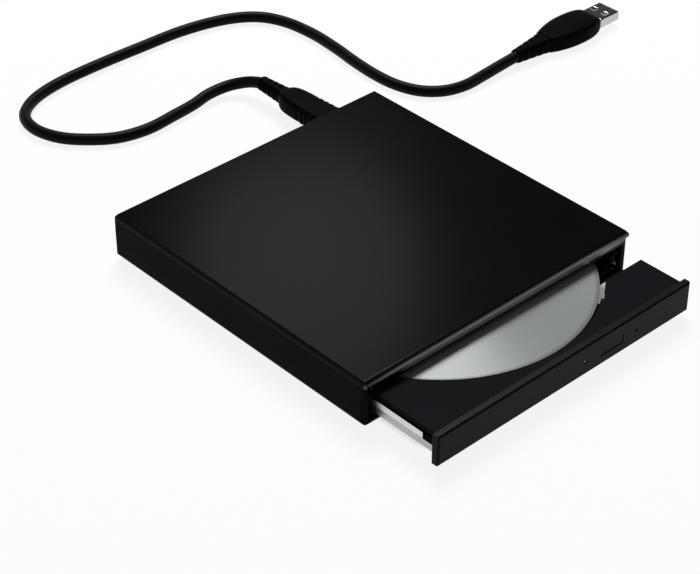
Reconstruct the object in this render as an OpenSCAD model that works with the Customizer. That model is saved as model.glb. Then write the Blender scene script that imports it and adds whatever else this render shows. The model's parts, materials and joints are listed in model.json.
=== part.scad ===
// Slim external disc drive: moulded case, steel chassis, sliding tray, reader and cable.
// Millimetres. +Z up, the front faces -Y, the origin is under the middle of the drive on the table.

/* [Drive] */
// Height of the drive and of its bezel
drive_h = 12.7; // [12.5:0.1:14]
// Room from the disc's edge to each side of the drive
disc_side = 4; // [3.8:0.1:6]
// Room from the bezel to the disc's edge
disc_front = 4; // [3.6:0.1:8]
// Gap behind the shut tray
back_gap = 1; // [0.6:0.1:4]
// Thickness of the chassis pan
sheet_t = 0.6; // [0.5:0.05:0.8]
// Thickness of the chassis lid
lid_t = 0.5; // [0.4:0.05:0.8]
// Running gap between tray and chassis
run_gap = 0.4; // [0.3:0.05:0.6]

/* [Case] */
// Gap between the drive and the case walls
drive_gap = 0.4; // [0.3:0.05:1]
// Thickness of the side walls
case_wall = 3.1; // [2.6:0.1:4]
// Thickness of the rear wall
rear_wall = 2.2; // [1.6:0.1:2.6]
// Thickness of the floor
floor_t = 1.7; // [1.5:0.1:2.4]
// Thickness of the cover
cover_t = 1.8; // [1.4:0.1:2.4]
// Space between the chassis lid and the cover
head_gap = 3; // [2.4:0.1:5]
// Depth of the bay behind the drive
rear_bay = 7.4; // [7.2:0.1:12]
// Radius of the bottom edges
edge_r = 3; // [2:0.1:3]
// Radius of the upright corners
corner_r = 1.5; // [1:0.1:2.5]
// Height of the cover's edge above the seam
rim_h = 2.2; // [2:0.1:3]
// How far the cover's nose stands in front of the side walls
nose = 1.4; // [1:0.1:2]
// Diameter of a rubber foot
foot_d = 9; // [6:0.5:12]
// Height of a rubber foot
foot_h = 0.8; // [0.6:0.1:2]

/* [Tray] */
// How far the tray stands open
tray_out = 32; // [20:1:40]
// Thickness of the bezel
bezel_t = 3; // [2.5:0.1:3.4]
// Gap around the bezel in the case opening
bezel_gap = 0.5; // [0.3:0.1:0.8]
// Depth of the front block on the open side
block_d = 19.3; // [19:0.1:22]
// Thickness of the tray's floor
tray_floor = 1.2; // [1:0.1:1.4]
// Thickness of the steel plate under the tray
plate_t = 0.5; // [0.4:0.05:0.6]

/* [Disc] */
// Diameter of the disc
disc_d = 120; // [110:1:130]
// Thickness of the disc
disc_t = 1.2; // [1.1:0.05:1.3]
// Diameter of the disc's hole
disc_hole = 15; // [15:0.1:15.6]
// How far the disc lies below the tray's top
disc_drop = 1.2; // [1:0.1:1.4]

/* [Slides] */
// Length of the left rail
rail_len = 108; // [90:1:110]
// Length of the right rail
right_len = 92; // [80:1:93]
// How far the right rail lies behind the left one
right_set = 25; // [20:1:26]
// How far the right rail lies below the left one
right_drop = 4; // [0:0.2:4.4]
// Height of a slide rail
rail_h = 2.6; // [2.4:0.1:2.8]
// Thickness of a slide rail
rail_t = 0.5; // [0.4:0.05:0.55]
// Play of a rail in its guide
rail_gap = 0.3; // [0.25:0.05:0.4]

/* [Controls] */
// Place of the eject button across the bezel
button_x = 22; // [14:0.5:24]
// Width of the eject button
button_w = 11.6; // [8:0.2:14]
// Height of the eject button
button_h = 3.6; // [2.8:0.1:4]
// Gap around the eject button
button_gap = 0.2; // [0.15:0.05:0.3]
// Place of the lamp across the bezel
lamp_x = 8; // [4:0.5:9]

/* [Reader] */
// Diameter of the turntable
table_d = 30; // [28:0.5:31]
// Home distance of the lens from the spindle
lens_home = 24; // [24:0.1:25]
// Travel of the reader
feed_stroke = 34; // [20:1:34]
// Diameter of a guide rod
rod_d = 2; // [1.6:0.1:2.2]
// Diameter of the lead screw
screw_d = 2.4; // [2:0.1:2.6]

/* [Cable] */
// Diameter of the cable
cord_d = 5; // [3.4:0.1:5.2]
// Place of the socket across the rear wall
socket_x = 49; // [44:0.5:50]
// Width of the drive-end plug body at its shoulder
plug_w = 12.4; // [11:0.2:14]
// How much wider that body is where it meets the case
plug_flare = 3.2; // [2:0.2:4]
// Height of the drive-end plug body
plug_h = 8.4; // [7.6:0.2:9]
// Width of the host plug's body
host_w = 17.6; // [15:0.2:18]
// Height of the host plug's body
host_h = 8.4; // [7.6:0.2:8.6]

/* [Hidden] */
$fn = 64;
eps = 0.01;
// The disc sets the drive's size, and the drive the case's and where case and tray lie along Y
front_gap = 0.6;
spindle_set = bezel_t + disc_front + disc_d / 2;
drive_w = disc_d + 2 * disc_side;
drive_d = spindle_set + disc_d / 2 + back_gap + sheet_t - bezel_t - front_gap;
case_w = drive_w + 2 * (drive_gap + case_wall);
case_d = bezel_t + front_gap + drive_d + rear_bay + rear_wall;
total_d = case_d + tray_out;
tray_y = -total_d / 2;
case_y = tray_y + tray_out;
rear_y = total_d / 2;
chassis_y = case_y + bezel_t + front_gap;
chassis_back = chassis_y + drive_d;
bay_y = rear_y - rear_wall;
// Levels from the table up
floor_z = foot_h + floor_t;
pan_z = floor_z + sheet_t;
lid_top = floor_z + drive_h;
lid_z = lid_top - lid_t;
cover_z = lid_top + head_gap;
case_h = cover_z + cover_t;
seam_z = case_h - rim_h;
plate_z = pan_z + run_gap;
tray_z = plate_z + plate_t;
tray_top = lid_z - run_gap;
disc_z = tray_top - disc_drop - disc_t;
recess_z = disc_z - 0.7;
inner_z = recess_z - 0.8;
roof_z = inner_z - tray_floor;
// Places across the width
half_in = case_w / 2 - case_wall;
half_d = drive_w / 2;
pan_in = half_d - sheet_t;
guide_t = 0.5;
lip_t = 0.6;
rail_out = pan_in - guide_t - 0.4;
rail_tip = rail_out - rail_t - 1.3;
groove_x = rail_tip - 0.5;
rib_x = rail_out - rail_t - 0.4;
tray_hw = pan_in - 1;
rail_z = tray_z + 4.6;
rail_top = rail_z + rail_h;
guide_z = rail_z - rail_gap - lip_t;
guide_top = rail_top + rail_gap + lip_t;
wing_z = guide_top + 0.4;
rib_z = rail_z + rail_t + 0.4;
rib_top = rail_top - rail_t - 0.4;
tray_wall = 2;
// Places along the tray
recess_r = disc_d / 2 + 1;
spindle_y = tray_y + spindle_set;
tray_back = spindle_y + disc_d / 2;
tray_face = tray_y + bezel_t;
tray_in = tray_face + tray_wall;
block_back = tray_face + block_d;
cut_x = 34;
cut_y = tray_face + 11.5;
notch_x = cut_x - 11;
notch_y = tray_back - 15;
rail_y = tray_face + 6;
button_z = floor_z + 6;
button_travel = 0.7;
board_y = tray_face + 5.2;
// Reader, in its own frame with u away from the spindle
feed_angle = 135;
frame_t = 1;
frame_z = roof_z - 0.2 - frame_t;
rod_z = tray_z + 2.1;
rod_v = [16, -17];
// The lens stops short of the disc's edge, and the frame clears the tray's rear and left walls
feed_end = disc_d / 2 - 2;
rear_u = sqrt(2) * (disc_d / 2 - tray_wall);
side_u = sqrt(2) * (groove_x - tray_wall);
rod_u = [8.5, feed_end + 2.4];
screw_z = tray_z + 2.55;
screw_v = 21.5;
tab_u = [-8, side_u - screw_v - 5.2];
screw_u = [-7.9, tab_u[1] + 2];
motor_r = 2.45;
sled_z = tray_z + 0.5;
sled_top = frame_z - 0.3;
lens_gap = 0.5;
hub_r = disc_hole / 2 - 0.3;
table_z = disc_z - 1.7;
rotor_r = table_d / 2 - 1.8;
dampers = [[-14, 14.3], [-13, -16], [20, -23], [30, 26.5]];
jaw_turns = [0, 120, 240];
// Latch, drawn released
latch_open = 22;
latch_x = groove_x - 16.2;
latch_y = tray_face + 7;
post_x = latch_x + 8;
post_y = case_y + bezel_t + 12;
post_d = 2.4;
// Bridge board and socket
bridge_z = floor_z + 2.9;
bridge_t = 1;
socket_at = socket_x + (disc_d - 120) / 2;
socket_w = 7.7;
socket_h = 3.9;
socket_z = bridge_z + bridge_t + socket_h / 2;
bay_front = chassis_back + 0.2;
boss_x = half_in - 6;
boss_y = (chassis_back + bay_y) / 2;
boss_r = min(3, (bay_y - chassis_back) / 2 - 0.3);
// Cable: plug lengths and the hand-chosen route on the table
plug_gap = 0.4;
plug_len = 35;
relief_len = 14.6;
cable_y = rear_y + plug_gap + plug_len + relief_len;
host_x = 149;
host_y = 82.7;
host_z = host_h / 2 + 0.1;
host_relief = 18;
host_len = 30.5;
shell_len = 11.8;
lie = cord_d / 2 + 0.1;
ROUTE = [
    [socket_at, cable_y, socket_z],
    [socket_at - 2, cable_y + 7, 6.6],
    [41, 148, 4.6],
    [31.5, 149.8, lie + 0.9],
    [22.5, 148.8, lie],
    [10.5, 147.5, lie],
    [-3.5, 146.5, lie],
    [-16.5, 149.5, lie],
    [-26.5, 156.5, lie],
    [-34.5, 166, lie],
    [-38, 178, lie],
    [-35, 189.5, lie],
    [-24.5, 197.5, lie],
    [-8.5, 201.5, lie],
    [12.5, 202.5, lie],
    [36, 202, lie],
    [58.5, 201, lie],
    [78, 196.5, lie],
    [91, 188.5, lie],
    [97.5, 176.5, lie],
    [99.5, 160, lie],
    [98.5, 143.5, lie],
    [96.5, 128.5, lie],
    [95.5, 114, lie],
    [96.5, 102, lie],
    [100.5, 92, lie],
    [108, 85.2, lie],
    [118, 82.4, lie],
    [129, 82.6, lie + 0.3],
    [139, 82.7, 3.6],
    [host_x, host_y, host_z]
];

// Colours
BLACK = [0.07, 0.07, 0.075];
TRAY_BLACK = [0.11, 0.11, 0.13];
STEEL = [0.72, 0.73, 0.74];
DULL_STEEL = [0.5, 0.51, 0.52];
SILVER = [0.62, 0.65, 0.66];
BOARD_GREEN = [0.05, 0.25, 0.12];
CHIP = [0.03, 0.03, 0.03];
BRASS = [0.75, 0.6, 0.3];

// A box between two corners
module box(from, to) {
    translate(from) cube(to - from);
}

// A rectangle between two corners with round corners
module round_rect(from, to, r) {
    size = to - from;
    translate([from.x + r, from.y]) square([size.x - 2 * r, size.y]);
    translate([from.x, from.y + r]) square([size.x, size.y - 2 * r]);
    for (x = [from.x + r, to.x - r], y = [from.y + r, to.y - r])
        translate([x, y]) circle(r);
}

// Carries an (x, z) outline along Y
module along_y(from, to) {
    translate([0, to, 0]) rotate([90, 0, 0]) linear_extrude(to - from) children();
}

// Carries a (y, z) outline along X
module along_x(from, to) {
    translate([from, 0, 0]) rotate([90, 0, 90]) linear_extrude(to - from) children();
}

// A cylinder along X from one place to another
module bar_x(from, to, r) {
    translate([from, 0, 0]) rotate([0, 90, 0]) cylinder(h = to - from, r = r);
}

// A cylinder along Y from one place to another
module bar_y(from, to, r) {
    translate([0, to, 0]) rotate([90, 0, 0]) cylinder(h = to - from, r = r);
}

// Mirrors its child for the right-hand side when side is 1
module on_side(side) {
    mirror([side > 0 ? 1 : 0, 0, 0]) children();
}

// The reader's frame: +X away from the spindle along the feed
module reader() {
    translate([0, spindle_y, 0]) rotate(feed_angle) children();
}

// The screws' places
function rear_bosses() = [for (s = [-1, 1]) [s * boss_x, boss_y]];
function rail_shift(side) = side > 0 ? -right_drop : 0;
function drive_holes() = [
    for (x = [-1, 1] * (half_d - 7), y = [chassis_y + 18, chassis_back - 26]) [x, y]
];
function plate_holes() = [
    [-groove_x + 6, tray_in + 6], [cut_x - 6, tray_in + 22],
    [-groove_x + 6, tray_back - 56], [notch_x - 26, tray_back - 6]
];
function feet() = [for (x = [-1, 1] * (case_w / 2 - 13), y = [case_y + 15, rear_y - 15]) [x, y]];

// Case outline across the width, with round bottom edges and sides that lean in above the waist
module base_profile() {
    lean = 0.6;
    waist_z = foot_h + 7;
    half = case_w / 2;
    difference() {
        union() {
            translate([-half + edge_r, foot_h]) square([case_w - 2 * edge_r, seam_z - foot_h]);
            translate([-half, foot_h + edge_r]) square([case_w, seam_z - foot_h - edge_r]);
            for (s = [-1, 1])
                translate([s * (half - edge_r), foot_h + edge_r]) circle(edge_r);
        }
        for (s = [-1, 1])
            polygon([
                [s * half, waist_z], [s * (half - lean), seam_z],
                [s * (half + 1), seam_z + 1], [s * (half + 1), waist_z]
            ]);
    }
}

// Case outline along the depth, with a round bottom edge at the rear
module base_run() {
    front = case_y + nose;
    translate([front, foot_h]) square([rear_y - edge_r - front, seam_z - foot_h]);
    translate([front, foot_h + edge_r]) square([rear_y - front, seam_z - foot_h - edge_r]);
    translate([rear_y - edge_r, foot_h + edge_r]) circle(edge_r);
}

module socket_window() {
    margin = 0.3;
    half = [socket_w / 2 + margin, socket_h / 2 + margin];
    box(
        [socket_at - half.x, bay_y - eps, socket_z - half.y],
        [socket_at + half.x, rear_y + eps, socket_z + half.y]
    );
}

module base_shell() {
    head_r = 2.3;
    head_t = 0.9;
    post_top = floor_z + 6;
    color(BLACK) difference() {
        union() {
            difference() {
                intersection() {
                    along_y(case_y, rear_y) base_profile();
                    along_x(-case_w / 2, case_w / 2) base_run();
                    linear_extrude(seam_z)
                        round_rect([-case_w / 2, case_y + nose], [case_w / 2, rear_y], corner_r);
                }
                box([-half_in, case_y, floor_z], [half_in, bay_y, seam_z + 1]);
                // Sill below the closed bezel
                box([-half_in, case_y, floor_z - bezel_gap], [half_in, chassis_y - 0.2, seam_z + 1]);
                socket_window();
            }
            // Posts for the rear screws and for the bridge board
            for (p = rear_bosses())
                translate([p.x, p.y, floor_z - eps]) cylinder(h = post_top - floor_z + eps, r = boss_r);
            for (x = bridge_posts())
                box([x - 2, bay_front + 1, floor_z - eps], [x + 2, bay_y - 1, bridge_z]);
            // Stops that keep the drive from moving back
            for (x = [-40, -26])
                box([x - 3, chassis_back, floor_z - eps], [x + 3, bay_y + eps, floor_z + 7]);
        }
        for (p = rear_bosses()) translate([p.x, p.y, 0]) {
            cylinder(h = post_top + 1, r = 1.3);
            cylinder(h = foot_h + head_t, r = head_r);
        }
        for (p = drive_holes()) translate([p.x, p.y, 0]) {
            cylinder(h = floor_z + 1, r = 1.2);
            cylinder(h = foot_h + head_t, r = head_r);
        }
    }
}

// Cover outline across the width, beveled along the top
module cover_profile() {
    half = case_w / 2 - 0.6;
    bevel = 0.9;
    polygon([
        [-half, seam_z], [-half + 0.2, case_h - bevel - 0.2], [-half + bevel, case_h],
        [half - bevel, case_h], [half - 0.2, case_h - bevel - 0.2], [half, seam_z]
    ]);
}

// Cover outline along the depth: a round nose at the front and a bevel at the rear
module cover_run() {
    bevel = 0.9;
    nose_r = rim_h;
    translate([case_y, seam_z - eps]) square([nose_r + eps, case_h - nose_r - seam_z + 2 * eps]);
    translate([case_y + nose_r, case_h - nose_r]) circle(nose_r);
    polygon([
        [case_y + nose_r, seam_z], [case_y + nose_r, case_h], [rear_y - bevel, case_h],
        [rear_y - 0.2, case_h - bevel - 0.2], [rear_y, seam_z]
    ]);
}

module top_cover() {
    lip_depth = 2.4;
    lip_z = lid_top + bezel_gap;
    side = 0.2;
    tab = 1.2;
    color(BLACK) difference() {
        union() {
            difference() {
                intersection() {
                    along_y(case_y, rear_y) cover_profile();
                    along_x(-case_w / 2, case_w / 2) cover_run();
                    translate([0, 0, seam_z])
                        linear_extrude(case_h - seam_z)
                            round_rect([-case_w / 2, case_y], [case_w / 2, rear_y], corner_r);
                }
                box([-half_in, case_y + lip_depth, seam_z - 1], [half_in, bay_y, cover_z]);
            }
            // Lip over the tray opening
            box([-half_in + side, case_y, lip_z], [half_in - side, case_y + lip_depth, seam_z + 0.5]);
            // Tabs inside the side walls
            for (s = [-1, 1], y = [-1, 0, 1] * case_d * 0.3 + [1, 1, 1] * (case_y + rear_y) / 2)
                translate([s * (half_in - side - tab / 2), y, 0])
                    box([-tab / 2, -6, lid_top + 0.3], [tab / 2, 6, cover_z + eps]);
            // Ribs that hold the drive down
            for (x = [-40, 0, 40])
                box([x - 0.6, chassis_y + 8, lid_top], [x + 0.6, chassis_back - 8, cover_z + eps]);
            for (p = rear_bosses())
                translate([p.x, p.y, floor_z + 6]) cylinder(h = cover_z + eps - floor_z - 6, r = boss_r);
        }
        for (p = rear_bosses())
            translate([p.x, p.y, floor_z + 5]) cylinder(h = 7, r = 1.02);
    }
}

module rubber_feet() {
    color([0.05, 0.05, 0.05]) for (p = feet())
        translate([p.x, p.y, 0]) {
            cylinder(h = foot_h, d = foot_d);
        }
}

// A screw with its head down at z = 0
module screw(head_r, head_t, shank_r, len) {
    difference() {
        cylinder(h = head_t, r = head_r);
        for (a = [0, 90]) rotate(a) box([-head_r * 0.6, -0.25, -eps], [head_r * 0.6, 0.25, head_t * 0.5]);
    }
    translate([0, 0, head_t - eps]) cylinder(h = len + eps, r = shank_r);
}

module case_screws() {
    color(DULL_STEEL) for (p = rear_bosses())
        translate([p.x, p.y, foot_h + 0.1]) screw(2, 0.8, 1, floor_z + 11 - foot_h - 0.9);
}

module drive_screws() {
    color(DULL_STEEL) for (p = drive_holes())
        translate([p.x, p.y, foot_h + 0.1]) screw(2, 0.8, 1, pan_z - foot_h - 0.9);
}

module drive_chassis() {
    color(STEEL) difference() {
        box([-half_d, chassis_y, floor_z], [half_d, chassis_back, lid_z]);
        box([-pan_in, chassis_y - 1, pan_z], [pan_in, chassis_back - sheet_t, lid_z + 1]);
        for (p = drive_holes()) translate([p.x, p.y, floor_z - 1]) cylinder(h = 3, r = 1.02);
        connector_window();
        // Cut-outs that lighten the pan
        for (x = [-36, 44])
            translate([0, 0, floor_z - 1]) linear_extrude(3)
                round_rect([x - 8, chassis_back - 62], [x + 8, chassis_back - 38], 3);
    }
}

module connector_window() {
    z = bridge_z + bridge_t;
    box([4.6, chassis_back - 2, z - 0.2], [35.4, chassis_back + 1, z + 4.2]);
}

// The lid follows the front of the pan and is cut back in the middle
module chassis_lid() {
    color(STEEL) translate([0, 0, lid_z]) linear_extrude(lid_t) difference() {
        round_rect([-half_d, chassis_y + 1], [half_d, chassis_back], 0.8);
        translate([0, chassis_y - 86]) circle(90, $fn = 128);
    }
}

module rail_guide(side) {
    translate([0, 0, rail_shift(side)]) on_side(side) color([0.16, 0.16, 0.17]) difference() {
        box([-pan_in, chassis_y + 0.4, guide_z], [-rail_tip - 1, chassis_back - 2, guide_top]);
        box([-pan_in + guide_t, chassis_y, guide_z + lip_t], [0, chassis_back, guide_top - lip_t]);
    }
}
module rail_guide_left() { rail_guide(-1); }
module rail_guide_right() { rail_guide(1); }

module latch_post() {
    color(STEEL) translate([post_x, post_y, pan_z]) {
        cylinder(h = 4.4, d = post_d);
        cylinder(h = 0.3, d = post_d + 2);
    }
}

// Kicker that starts the tray on its way out, shown pressed in
module ejector_housing() {
    y = [case_y + notch_y - tray_y + 3, chassis_back - 1];
    x = notch_x + 5.5;
    color([0.2, 0.2, 0.21]) difference() {
        box([x - 4, y[0], pan_z], [x + 4, y[1], pan_z + 5]);
        translate([x, 0, pan_z + 2.5]) bar_y(y[0] - 1, y[1] - 2, 1.25);
    }
}
module ejector_plunger() {
    y = case_y + notch_y - tray_y;
    color([0.8, 0.8, 0.78]) translate([notch_x + 5.5, 0, pan_z + 2.5]) bar_y(y + 0.5, y + 10, 1.2);
}

function bridge_posts() = [-14, 2, 38];
module bridge_board() {
    color(BOARD_GREEN) box([-18, bay_front, bridge_z], [boss_x - 4, bay_y - 0.3, bridge_z + bridge_t]);
}

module bridge_chips() {
    z = bridge_z + bridge_t;
    color(CHIP) for (x = [-12, -2])
        box([x - 2.5, bay_front + 0.6, z], [x + 2.5, bay_front + 5.6, z + 1.2]);
}

module drive_connector() {
    z = bridge_z + bridge_t;
    color([0.12, 0.12, 0.12]) difference() {
        box([5, chassis_back - 0.8, z], [35, chassis_back + 4, z + 4]);
        box([6, chassis_back + 3, z + 1.2], [34, chassis_back + 5, z + 2.8]);
    }
}

module usb_socket() {
    y = [chassis_back + 0.2, rear_y - 0.2];
    half = [socket_w / 2, socket_h / 2];
    color(STEEL) difference() {
        box([socket_at - half.x, y[0], socket_z - half.y], [socket_at + half.x, y[1], socket_z + half.y]);
        along_y(y[0] + 1, y[1] + 1) translate([socket_at, socket_z]) plug_outline(0.1);
    }
}

// Outline of the plug that goes into the socket: wide at the bottom, narrower at the top
module plug_outline(gap) {
    polygon([
        [-2.9 - gap, -1.5 - gap], [2.9 + gap, -1.5 - gap], [3.4 + gap, -0.6], [3.4 + gap, 1.5 + gap],
        [-3.4 - gap, 1.5 + gap], [-3.4 - gap, -0.6]
    ]);
}

// Flat cable on the pan: it folds back on itself and rises to the connector and to the tray board
module flex_ribbon() {
    t = 0.12;
    x = [4.5, 20.5];
    fold_y = spindle_y - 2;
    riser_y = chassis_back - sheet_t - 0.5;
    tray_end = tray_back - 5;
    color([0.75, 0.5, 0.2]) along_x(x[0], x[1]) {
        translate([fold_y, pan_z]) square([riser_y - fold_y, t]);
        translate([riser_y, pan_z]) square([t, bridge_z + bridge_t + 1 - pan_z]);
        translate([fold_y, pan_z]) square([t, 2.2 * t]);
        translate([fold_y, pan_z + 1.2 * t]) square([tray_end - fold_y, t]);
        translate([tray_end - t, pan_z + 1.2 * t]) square([t, tray_z + 0.6 - pan_z - 1.2 * t]);
    }
}

module slide_rail(side, from, to) {
    window = [to - 14, to - 6];
    translate([0, 0, rail_shift(side)]) on_side(side) color(STEEL) difference() {
        box([-rail_out, from, rail_z], [-rail_tip, to, rail_top]);
        box([-rail_out + rail_t, from - 1, rail_z + rail_t], [0, to + 1, rail_top - rail_t]);
        // Stop window near the rear end
        box([-rail_out - 1, window[0], rail_z + 0.8], [-rail_tip, window[1], rail_top - 0.8]);
    }
}
module slide_rail_left() { slide_rail(-1, rail_y, rail_y + rail_len); }
module slide_rail_right() { slide_rail(1, rail_y + right_set, rail_y + right_set + right_len); }

// Tray outline with half width hw: the right side is cut away behind the front block
module tray_outline(hw) {
    difference() {
        union() {
            round_rect([-hw, tray_face], [cut_x, tray_back], 1.5);
            translate([0, tray_face]) square([hw, block_d]);
        }
        translate([cut_x, cut_y]) square([recess_r, tray_back]);
        translate([notch_x, notch_y]) square([cut_x, tray_back]);
    }
    difference() {
        translate([cut_x - 4, tray_face]) square([hw - cut_x + 4, block_d]);
        translate([0, spindle_y]) circle(recess_r + 1);
    }
}

// Space under the tray's floor
module tray_hollow() {
    round_rect([-groove_x + tray_wall, tray_in], [cut_x - tray_wall, tray_back - tray_wall], 1);
    translate([cut_x + 1, tray_in]) square([groove_x - tray_wall - cut_x - 1, block_d]);
}

module tray() {
    slot_w = 14;
    tab_w = 8.2;
    color(TRAY_BLACK) difference() {
        union() {
            difference() {
                union() {
                    translate([0, 0, tray_z]) linear_extrude(wing_z - tray_z) tray_outline(groove_x);
                    translate([0, 0, wing_z - eps])
                        linear_extrude(tray_top - wing_z + eps) tray_outline(tray_hw);
                    // Left runner inside the slide rail
                    box([-rib_x, tray_face + 1, rib_z], [-groove_x + eps, tray_back - 1, rib_top]);
                }
                translate([0, 0, tray_z - 1]) linear_extrude(roof_z - tray_z + 1) difference() {
                    tray_hollow();
                    translate([notch_x - tray_wall, notch_y - tray_wall])
                        square([cut_x, tray_back]);
                }
            }
            // Posts for the dampers, the bottom plate and the board
            reader() for (p = dampers)
                translate([p.x, p.y, frame_z - 1.6]) cylinder(h = roof_z + eps - frame_z + 1.6, r = 1.2);
            for (p = plate_holes())
                translate([p.x, p.y, tray_z]) cylinder(h = roof_z + eps - tray_z, r = 2.4);
            for (p = board_posts())
                translate([p.x, p.y, tray_z + 1.4]) cylinder(h = roof_z + eps - tray_z - 1.4, r = 1.8);
        }
        // Disc recess, with a deeper ring for small discs
        translate([0, spindle_y, recess_z]) cylinder(h = tray_top, r = recess_r, $fn = 128);
        translate([0, spindle_y, inner_z]) cylinder(h = tray_top, r = 40.5, $fn = 128);
        // Hole for the spindle and slot for the lens
        translate([0, spindle_y, roof_z - 1]) cylinder(h = tray_top, r = table_d / 2 + 1.5);
        reader() box([0, -slot_w / 2, roof_z - 1], [lens_home + feed_stroke + 6, slot_w / 2, tray_top]);
        // Openings in the front wall for the button, the lamp and the bezel's tabs
        box(
            [button_x - button_w / 2 - 1.6, tray_face - 1, button_z - button_h / 2 - 1.4],
            [button_x + button_w / 2 + 1.6, tray_in + 6, button_z + button_h / 2 + 1.4]
        );
        translate([lamp_x, 0, button_z]) bar_y(tray_face - 1, board_y + 0.1, 1.1);
        for (x = bezel_tabs())
            box([x - tab_w / 2, tray_face - 1, button_z - 1.6], [x + tab_w / 2, tray_in + 1, button_z + 1.6]);
        for (p = plate_holes())
            translate([p.x, p.y, tray_z - 1]) cylinder(h = 4.2, r = 0.82);
    }
}

function bezel_tabs() = [-46, -14, 46];
function board_posts() = [[9, tray_back - 24.4], [18, tray_back - 12]];

module runner_bar_right() {
    color(STEEL) translate([0, 0, rail_shift(1)])
        box([groove_x, tray_face + 1, rib_z], [rib_x, tray_back - 1, rib_top]);
}

module bezel() {
    chamfer = 0.6;
    hole_w = button_w / 2 + button_gap;
    hole_h = button_h / 2 + button_gap;
    top = floor_z + drive_h;
    pin_x = button_x + 13;
    color(BLACK) difference() {
        union() {
            intersection() {
                along_x(-half_d, half_d) polygon([
                    [tray_y, floor_z + chamfer], [tray_y + chamfer, floor_z], [tray_face, floor_z],
                    [tray_face, top], [tray_y + chamfer, top], [tray_y, top - chamfer]
                ]);
                linear_extrude(top + 1) polygon([
                    [-half_d, tray_y + chamfer], [-half_d + chamfer, tray_y], [half_d - chamfer, tray_y],
                    [half_d, tray_y + chamfer], [half_d, tray_face], [-half_d, tray_face]
                ]);
            }
            for (x = bezel_tabs())
                box([x - 4, tray_face - eps, button_z - 1.5], [x + 4, tray_in, button_z + 1.5]);
        }
        box(
            [button_x - hole_w, tray_y - 1, button_z - hole_h],
            [button_x + hole_w, tray_face + 1, button_z + hole_h]
        );
        translate([lamp_x, 0, button_z]) bar_y(tray_y - 1, tray_face + 1, 1.02);
        // Pinhole for the emergency release
        translate([pin_x, 0, button_z]) bar_y(tray_y - 1, tray_face + 1, 0.7);
    }
}

module eject_button() {
    half = [button_w / 2, button_h / 2];
    flange = 0.9;
    color([0.09, 0.09, 0.1]) {
        box(
            [button_x - half.x, tray_y + 0.2, button_z - half.y],
            [button_x + half.x, tray_face + 0.5, button_z + half.y]
        );
        box(
            [button_x - half.x - flange, tray_face + 0.3, button_z - half.y - flange],
            [button_x + half.x + flange, tray_face + 1.2, button_z + half.y + flange]
        );
        translate([button_x, 0, button_z]) bar_y(tray_face + 1, tray_face + 2, 1.4);
    }
}

module led_lens() {
    color([0.75, 0.85, 0.75]) translate([lamp_x, 0, button_z]) bar_y(tray_y + 0.1, board_y, 1);
}

module front_board() {
    color(BOARD_GREEN) box([lamp_x - 4, board_y, tray_z + 0.3], [button_x + 9, board_y + 0.8, roof_z]);
}

module eject_switch() {
    nub_y = tray_face + 2 + button_travel + 0.1;
    color([0.7, 0.7, 0.7]) {
        box([button_x - 3, nub_y + 0.5, button_z - 2], [button_x + 3, board_y, button_z + 2]);
        translate([button_x, 0, button_z]) bar_y(nub_y, nub_y + 0.6, 1);
    }
}

// Steel plate under the tray, with its left edge turned up below the rail
module tray_bottom_plate() {
    flange_t = 0.5;
    edge = [-groove_x - flange_t, tray_in];
    color(DULL_STEEL) difference() {
        union() {
            translate([0, 0, plate_z]) linear_extrude(plate_t) difference() {
                translate(edge) square([cut_x - 1 - edge.x, tray_back - 1 - edge.y]);
                translate([notch_x - 1, notch_y - 1]) square([cut_x, tray_back]);
                // Window under the reader
                translate([0, spindle_y]) rotate(feed_angle) round_rect([20, -9], [feed_end, 9], 3);
            }
            box([edge.x, tray_face + 0.2, plate_z], [-groove_x, tray_back - 1, tray_z + 2.4]);
        }
        for (p = plate_holes()) translate([p.x, p.y, plate_z - 1]) cylinder(h = 3, r = 1.6);
        // Slit for the flat cable
        box([4, tray_back - 6.4, plate_z - 1], [21, tray_back - 4, tray_z + eps]);
    }
}

module tray_screws() {
    color(DULL_STEEL) for (p = plate_holes())
        translate([p.x, p.y, plate_z + 0.05]) screw(1.5, plate_t - 0.05, 0.8, 3);
}

module tray_board() {
    color(BOARD_GREEN) box([4, tray_back - 32, tray_z + 0.6], [notch_x - 2.2, tray_back - 3, tray_z + 1.4]);
}

module tray_chips() {
    color(CHIP) {
        box([9.5, tray_back - 22.5, tray_z + 1.4], [17.5, tray_back - 14.5, tray_z + 2.6]);
        box([6, tray_back - 31, tray_z + 1.4], [11, tray_back - 26.5, tray_z + 2.4]);
    }
}

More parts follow.
